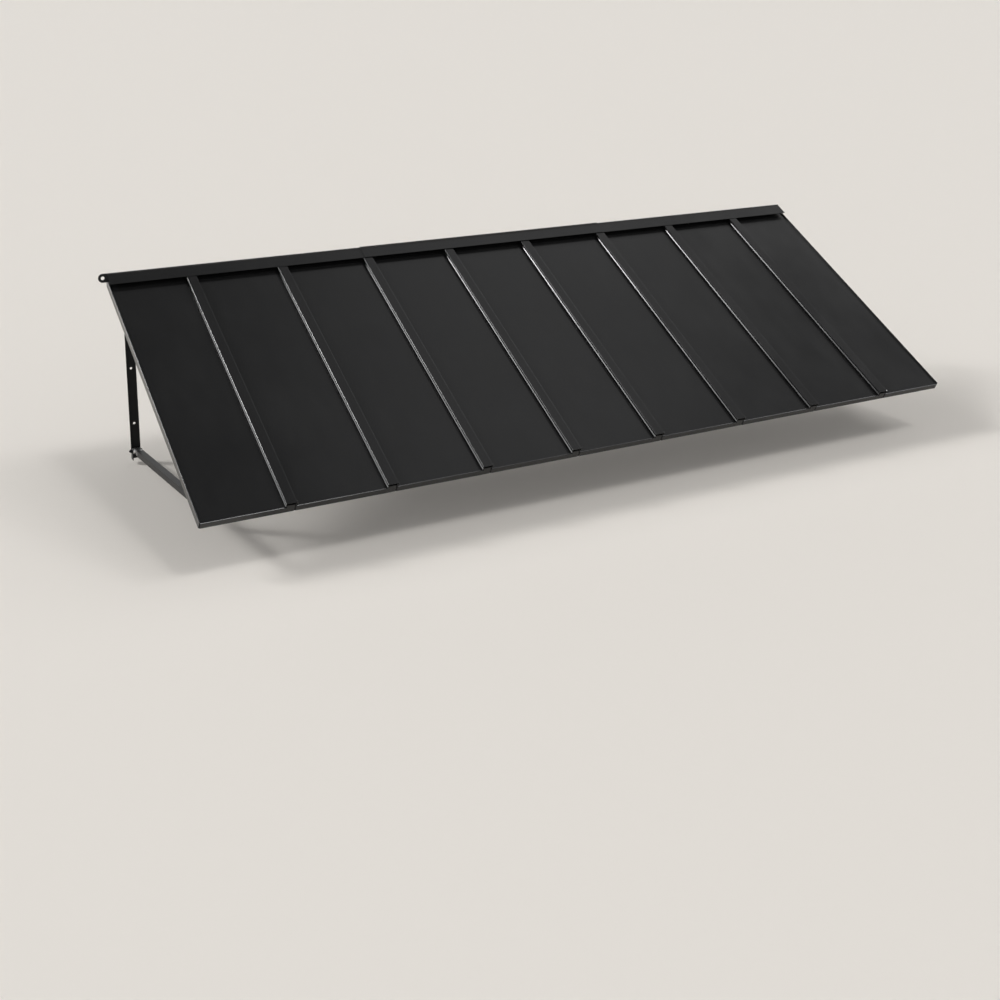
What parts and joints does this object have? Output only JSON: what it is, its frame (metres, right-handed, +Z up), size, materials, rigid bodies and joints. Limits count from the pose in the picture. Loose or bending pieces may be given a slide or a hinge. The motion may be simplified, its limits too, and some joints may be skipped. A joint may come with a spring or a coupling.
{
  "type": "door canopy",
  "caption": "Sloping standing-seam metal door canopy on a wall rail, with a triangular bracket at each end, painted charcoal black.",
  "frame": {"origin": "on the wall face of the rail, half way along the canopy and half way up the rail's web", "axes": "+X along the wall to the right as seen from the front, +Y into the wall, +Z up"},
  "size_m": [2.6665, 0.9266, 0.624],
  "materials": {
    "roof_paint": "charcoal black powder coat, semi-matte",
    "frame_paint": "charcoal black powder coat, semi-matte",
    "zinc_plate": "bright zinc plating, satin"
  },
  "bodies": {
    "root": {"roof_pan_1": "roof_paint", "roof_pan_2": "roof_paint", "roof_pan_3": "roof_paint", "roof_pan_4": "roof_paint", "roof_pan_5": "roof_paint", "roof_pan_6": "roof_paint", "roof_pan_7": "roof_paint", "roof_pan_8": "roof_paint", "roof_pan_9": "roof_paint", "seam_cap_1": "roof_paint", "seam_cap_2": "roof_paint", "seam_cap_3": "roof_paint", "seam_cap_4": "roof_paint", "seam_cap_5": "roof_paint", "seam_cap_6": "roof_paint", "seam_cap_7": "roof_paint", "seam_cap_8": "roof_paint", "header_cap_left": "roof_paint", "header_cap_middle": "roof_paint", "header_cap_right": "roof_paint", "wall_rail_left": "frame_paint", "wall_rail_middle": "frame_paint", "wall_rail_right": "frame_paint", "seam_rafter_1": "frame_paint", "seam_rafter_2": "frame_paint", "seam_rafter_3": "frame_paint", "seam_rafter_4": "frame_paint", "seam_rafter_5": "frame_paint", "seam_rafter_6": "frame_paint", "seam_rafter_7": "frame_paint", "seam_rafter_8": "frame_paint", "end_rafter_left": "frame_paint", "end_rafter_right": "frame_paint", "front_bar_left": "frame_paint", "front_bar_middle": "frame_paint", "front_bar_right": "frame_paint", "wall_leg_left": "frame_paint", "wall_leg_right": "frame_paint", "arm_tube_left": "frame_paint", "arm_tube_right": "frame_paint", "arm_rear_eye_left": "zinc_plate", "arm_rear_eye_right": "zinc_plate", "arm_front_eye_left": "zinc_plate", "arm_front_eye_right": "zinc_plate", "arm_stay_left": "frame_paint", "arm_stay_right": "frame_paint", "arm_pin_left": "frame_paint", "arm_pin_right": "frame_paint", "pivot_bolt_left": "frame_paint", "pivot_bolt_right": "frame_paint", "pivot_nut_left": "frame_paint", "pivot_nut_right": "frame_paint"}
  },
  "joints": []
}
